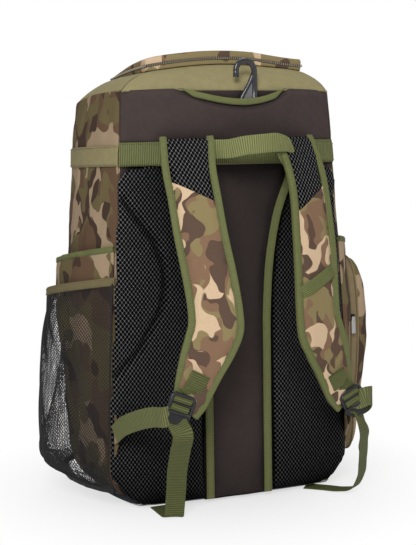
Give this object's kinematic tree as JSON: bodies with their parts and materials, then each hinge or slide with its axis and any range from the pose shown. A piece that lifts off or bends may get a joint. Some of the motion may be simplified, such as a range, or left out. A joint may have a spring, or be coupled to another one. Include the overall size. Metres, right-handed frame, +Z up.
{
  "type": "sports equipment backpack",
  "caption": "Free-standing equipment backpack with lid, side sleeves, mesh pocket, zipped pockets, padded straps, haul handle and a fence hook.",
  "frame": {"origin": "middle of the flat base, on the surface that the pack stands on", "axes": "+Z up, -Y towards the wearer's side (back pads and straps), +Y the front of the pack, +X to the right for someone looking at the wearer's side"},
  "size_m": [0.482, 0.4302, 0.5993],
  "materials": {
    "brown_cloth": "fine twill, matt",
    "camo_cloth": "printed woodland camouflage on woven polyester",
    "olive_cloth": "woven polyester, matt",
    "base_cloth": "coated cloth, matt",
    "green_webbing": "ribbed polypropylene webbing",
    "black_air_mesh": "spacer mesh with a diamond net",
    "black_net": "open net",
    "lining_cloth": "plain lining over foam",
    "zip_tape": "coil zip on woven tape",
    "zip_metal": "dark painted die casting",
    "pull_metal": "satin nickel",
    "hook_plastic": "moulded, slightly glossy",
    "buckle_plastic": "moulded acetal, satin",
    "frame_plastic": "sheet polyethylene"
  },
  "bodies": {
    "root": {"back_panel": "brown_cloth", "side_panel_left": "camo_cloth", "side_panel_right": "camo_cloth", "front_panel": "camo_cloth", "bottom_panel": "base_cloth", "top_yoke": "olive_cloth", "lid_gusset": "camo_cloth", "back_yoke": "brown_cloth", "hook_pocket_binding": "green_webbing", "back_webbing_band": "green_webbing", "back_pad_left": "black_air_mesh", "back_pad_right": "black_air_mesh", "channel_bindings": "green_webbing", "side_band_left": "olive_cloth", "side_band_right": "olive_cloth", "bat_sleeve_left": "camo_cloth", "bat_sleeve_right": "camo_cloth", "sleeve_binding_left": "green_webbing", "sleeve_binding_right": "green_webbing", "mesh_pocket": "black_net", "mesh_pocket_hem": "olive_cloth", "side_pocket_gusset": "olive_cloth", "side_pocket_face": "camo_cloth", "side_pocket_zip": "zip_tape", "front_pocket": "camo_cloth", "front_pocket_zip": "zip_tape", "valuables_pocket": "olive_cloth", "valuables_zip": "zip_tape", "anchor_tab_left": "camo_cloth", "anchor_tab_right": "camo_cloth", "adjuster_webbing_left": "green_webbing", "adjuster_webbing_right": "green_webbing", "frame_sheet": "frame_plastic", "base_board": "frame_plastic", "inner_divider": "lining_cloth"},
    "lid": {"lid_side": "camo_cloth", "lid_panel": "camo_cloth"},
    "lid_slider": {"lid_zip_slider": "zip_metal"},
    "lid_pull": {"lid_zip_pull": "pull_metal"},
    "side_slider": {"side_zip_slider": "zip_metal"},
    "side_pull": {"side_zip_pull": "pull_metal"},
    "front_slider": {"front_zip_slider": "zip_metal"},
    "front_pull": {"front_zip_pull": "pull_metal"},
    "valuables_slider": {"valuables_slider": "zip_metal"},
    "valuables_pull": {"valuables_pull": "pull_metal"},
    "fence_hook": {"fence_hook": "hook_plastic", "hook_webbing": "green_webbing"},
    "haul_handle": {"haul_handle": "green_webbing"},
    "strap_left": {"shoulder_strap_left": "camo_cloth", "strap_bindings_left": "green_webbing", "strap_patch_left": "green_webbing", "strap_tail_left": "green_webbing"},
    "strap_right": {"shoulder_strap_right": "camo_cloth", "strap_bindings_right": "green_webbing", "strap_patch_right": "green_webbing", "strap_keeper_right": "green_webbing", "strap_tail_right": "green_webbing"},
    "lock_left": {"ladder_lock_left": "buckle_plastic"},
    "lock_right": {"ladder_lock_right": "buckle_plastic"}
  },
  "joints": [
    {"name": "lid_hinge", "type": "hinge", "parent": "root", "child": "lid", "pos_m": [0, 0.0893, 0.5785], "axis": [-1, 0, 0], "range_deg": [0, 110]},
    {"name": "lid_zip_travel", "type": "slide", "parent": "root", "child": "lid_slider", "axis": [0, -1, 0], "range_m": [0, 0.11]},
    {"name": "lid_pull_swing", "type": "hinge", "parent": "lid_slider", "child": "lid_pull", "pos_m": [0.1172, 0.05925, 0.5785], "axis": [0, 0, 1], "range_deg": [0, 150]},
    {"name": "side_zip_travel", "type": "slide", "parent": "root", "child": "side_slider", "axis": [0, 0, 1], "range_m": [-0.15, 0.02]},
    {"name": "side_pull_swing", "type": "hinge", "parent": "side_slider", "child": "side_pull", "pos_m": [0.216, -0.0694, 0.23525], "axis": [-1, 0, 0], "range_deg": [0, 150]},
    {"name": "front_zip_travel", "type": "slide", "parent": "root", "child": "front_slider", "axis": [0, 0, 1], "range_m": [-0.2, 0]},
    {"name": "front_pull_swing", "type": "hinge", "parent": "front_slider", "child": "front_pull", "pos_m": [0.099, 0.17968, 0.29725], "axis": [1, 0, 0], "range_deg": [0, 150]},
    {"name": "valuables_zip_travel", "type": "slide", "parent": "root", "child": "valuables_slider", "axis": [-1, 0, 0], "range_m": [0, 0.12]},
    {"name": "valuables_pull_swing", "type": "hinge", "parent": "valuables_slider", "child": "valuables_pull", "pos_m": [0.0565, 0.1489, 0.462], "axis": [1, 0, 0], "range_deg": [0, 150]},
    {"name": "hook_slide", "type": "slide", "parent": "root", "child": "fence_hook", "axis": [0, 0, 1], "range_m": [0, 0.035]},
    {"name": "handle_swing", "type": "hinge", "parent": "root", "child": "haul_handle", "pos_m": [0, -0.14815, 0.481], "axis": [-1, 0, 0], "range_deg": [0, 70]},
    {"name": "strap_left_swing", "type": "hinge", "parent": "root", "child": "strap_left", "pos_m": [0, -0.14754, 0.476], "axis": [-1, 0, 0], "range_deg": [0, 15], "deforming": ["adjuster_webbing_left", "strap_tail_left"]},
    {"name": "lock_left_tilt", "type": "hinge", "parent": "strap_left", "child": "lock_left", "pos_m": [-0.10974, -0.24555, 0.16126], "axis": [-0.891, 0, 0.454], "range_deg": [0, 45]},
    {"name": "strap_right_swing", "type": "hinge", "parent": "root", "child": "strap_right", "pos_m": [0, -0.14754, 0.476], "axis": [-1, 0, 0], "range_deg": [0, 15], "deforming": ["adjuster_webbing_right", "strap_tail_right"]},
    {"name": "lock_right_tilt", "type": "hinge", "parent": "strap_right", "child": "lock_right", "pos_m": [0.10974, -0.24555, 0.16126], "axis": [-0.891, 0, -0.454], "range_deg": [0, 45]}
  ]
}
